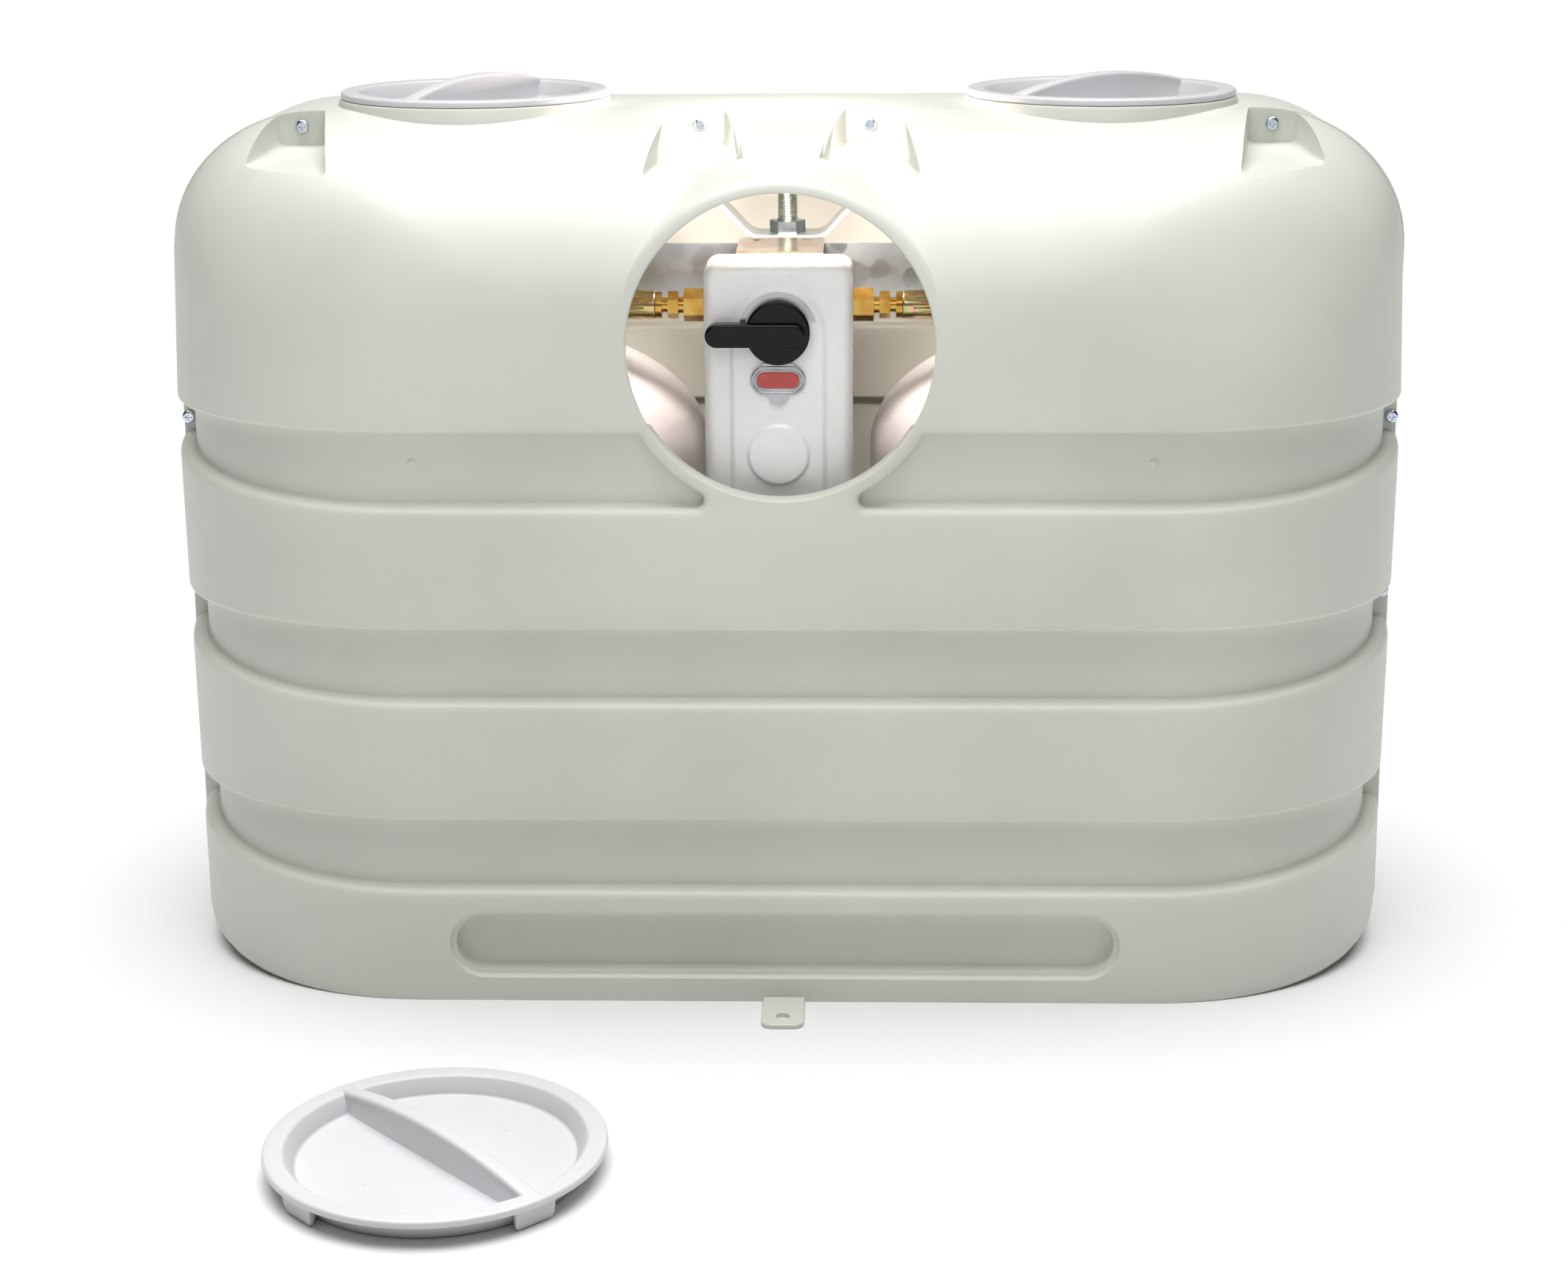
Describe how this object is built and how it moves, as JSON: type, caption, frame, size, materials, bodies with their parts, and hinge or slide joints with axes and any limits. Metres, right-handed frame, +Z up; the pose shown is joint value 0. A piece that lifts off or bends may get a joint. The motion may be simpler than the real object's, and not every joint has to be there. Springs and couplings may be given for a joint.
{
  "type": "twin propane tank set with cover",
  "caption": "Twin propane tanks on a drawbar rack with changeover regulator, hoses and hold-down, under a two-shell plastic cover with push-in caps.",
  "frame": {"origin": "on the ground under the hold-down rod, middle of the rack plate's underside", "axes": "+Z up, -Y towards the face with the round window, +X to the right seen from that face"},
  "size_m": [0.75, 0.66, 0.5363],
  "materials": {
    "cover_plastic": "satin moulded white polyethylene",
    "cap_plastic": "satin moulded white plastic",
    "zinc_screw": "bright blue zinc plate",
    "galvanised": "hot-dip galvanised, spangled",
    "plated_clip": "bright zinc plate",
    "rod_zinc": "zinc plated thread",
    "nut_zinc": "zinc plated",
    "rack_paint": "black powder coat",
    "tank_paint": "pale grey gloss paint",
    "brass": "machined",
    "yellow_zinc": "yellow chromated zinc",
    "hose_rubber": "smooth black hose",
    "connector_plastic": "moulded black",
    "wheel_plastic": "cast handwheel, dark enamel",
    "housing_plastic": "gloss moulded ABS",
    "lever_plastic": "gloss moulded black",
    "silver_trim": "silver foil",
    "indicator_red": "clear red",
    "die_cast": "die-cast"
  },
  "bodies": {
    "base": {"rack_plate": "rack_paint", "rack_channel": "rack_paint", "rack_tray_left": "rack_paint", "rack_tray_right": "rack_paint", "hold_down_rod": "rod_zinc", "rod_foot_nut": "nut_zinc", "plate_nut": "nut_zinc", "strap_lock_nut": "nut_zinc", "hold_down_nut": "nut_zinc", "hold_down_strap": "galvanised", "cross_plate": "galvanised", "regulator_clip": "plated_clip", "regulator_body": "die_cast", "regulator_housing": "housing_plastic", "dial_arc": "silver_trim", "indicator_bezel": "silver_trim", "indicator_window": "indicator_red", "left_tank": "tank_paint", "left_foot_ring": "tank_paint", "left_collar": "tank_paint", "left_valve": "brass", "left_inlet_nut": "brass", "left_inlet_nipple": "brass", "left_inlet_sleeve": "yellow_zinc", "left_hose": "hose_rubber", "left_tank_sleeve": "yellow_zinc", "left_connector_nipple": "brass", "right_tank": "tank_paint", "right_foot_ring": "tank_paint", "right_collar": "tank_paint", "right_valve": "brass", "right_inlet_nut": "brass", "right_inlet_nipple": "brass", "right_inlet_sleeve": "yellow_zinc", "right_hose": "hose_rubber", "right_tank_sleeve": "yellow_zinc", "right_connector_nipple": "brass"},
    "cover": {"front_shell": "cover_plastic", "rear_shell": "cover_plastic", "shell_clip_nuts": "zinc_screw", "shell_screw_1": "zinc_screw", "shell_screw_2": "zinc_screw", "shell_screw_3": "zinc_screw", "shell_screw_4": "zinc_screw", "shell_screw_5": "zinc_screw", "shell_screw_6": "zinc_screw", "shell_screw_7": "zinc_screw", "shell_screw_8": "zinc_screw"},
    "left_lid": {"top_cap_left": "cap_plastic"},
    "right_lid": {"top_cap_right": "cap_plastic"},
    "front_lid": {"front_cap": "cap_plastic"},
    "lever": {"changeover_lever": "lever_plastic", "lever_axle": "nut_zinc"},
    "left_wheel": {"left_handwheel": "wheel_plastic"},
    "right_wheel": {"right_handwheel": "wheel_plastic"},
    "left_coupling": {"left_connector_nut": "connector_plastic"},
    "right_coupling": {"right_connector_nut": "connector_plastic"}
  },
  "joints": [
    {"name": "cover_lift", "type": "slide", "parent": "base", "child": "cover", "axis": [0, 0, 1], "range_m": [0, 0.55]},
    {"name": "left_lid_lift", "type": "slide", "parent": "cover", "child": "left_lid", "axis": [0, 0, 1], "range_m": [0, 0.15]},
    {"name": "right_lid_lift", "type": "slide", "parent": "cover", "child": "right_lid", "axis": [0, 0, 1], "range_m": [0, 0.15]},
    {"name": "front_lid_lift", "type": "slide", "parent": "base", "child": "front_lid", "axis": [0, 0, 1], "range_m": [0, 0.25]},
    {"name": "changeover_turn", "type": "hinge", "parent": "base", "child": "lever", "pos_m": [-0.002, -0.15, 0.403], "axis": [0, 1, 0], "range_deg": [0, 180]},
    {"name": "left_wheel_turn", "type": "hinge", "parent": "base", "child": "left_wheel", "pos_m": [-0.204, 0, 0.45], "axis": [0, 0, 1], "range_deg": [0, 720]},
    {"name": "right_wheel_turn", "type": "hinge", "parent": "base", "child": "right_wheel", "pos_m": [0.204, 0, 0.45], "axis": [0, 0, 1], "range_deg": [0, 720]},
    {"name": "left_coupling_turn", "type": "hinge", "parent": "base", "child": "left_coupling", "pos_m": [-0.204, 0, 0.413], "axis": [-0.9659, -0.2588, 0], "continuous": true},
    {"name": "right_coupling_turn", "type": "hinge", "parent": "base", "child": "right_coupling", "pos_m": [0.204, 0, 0.413], "axis": [0.9659, -0.2588, 0], "continuous": true}
  ]
}
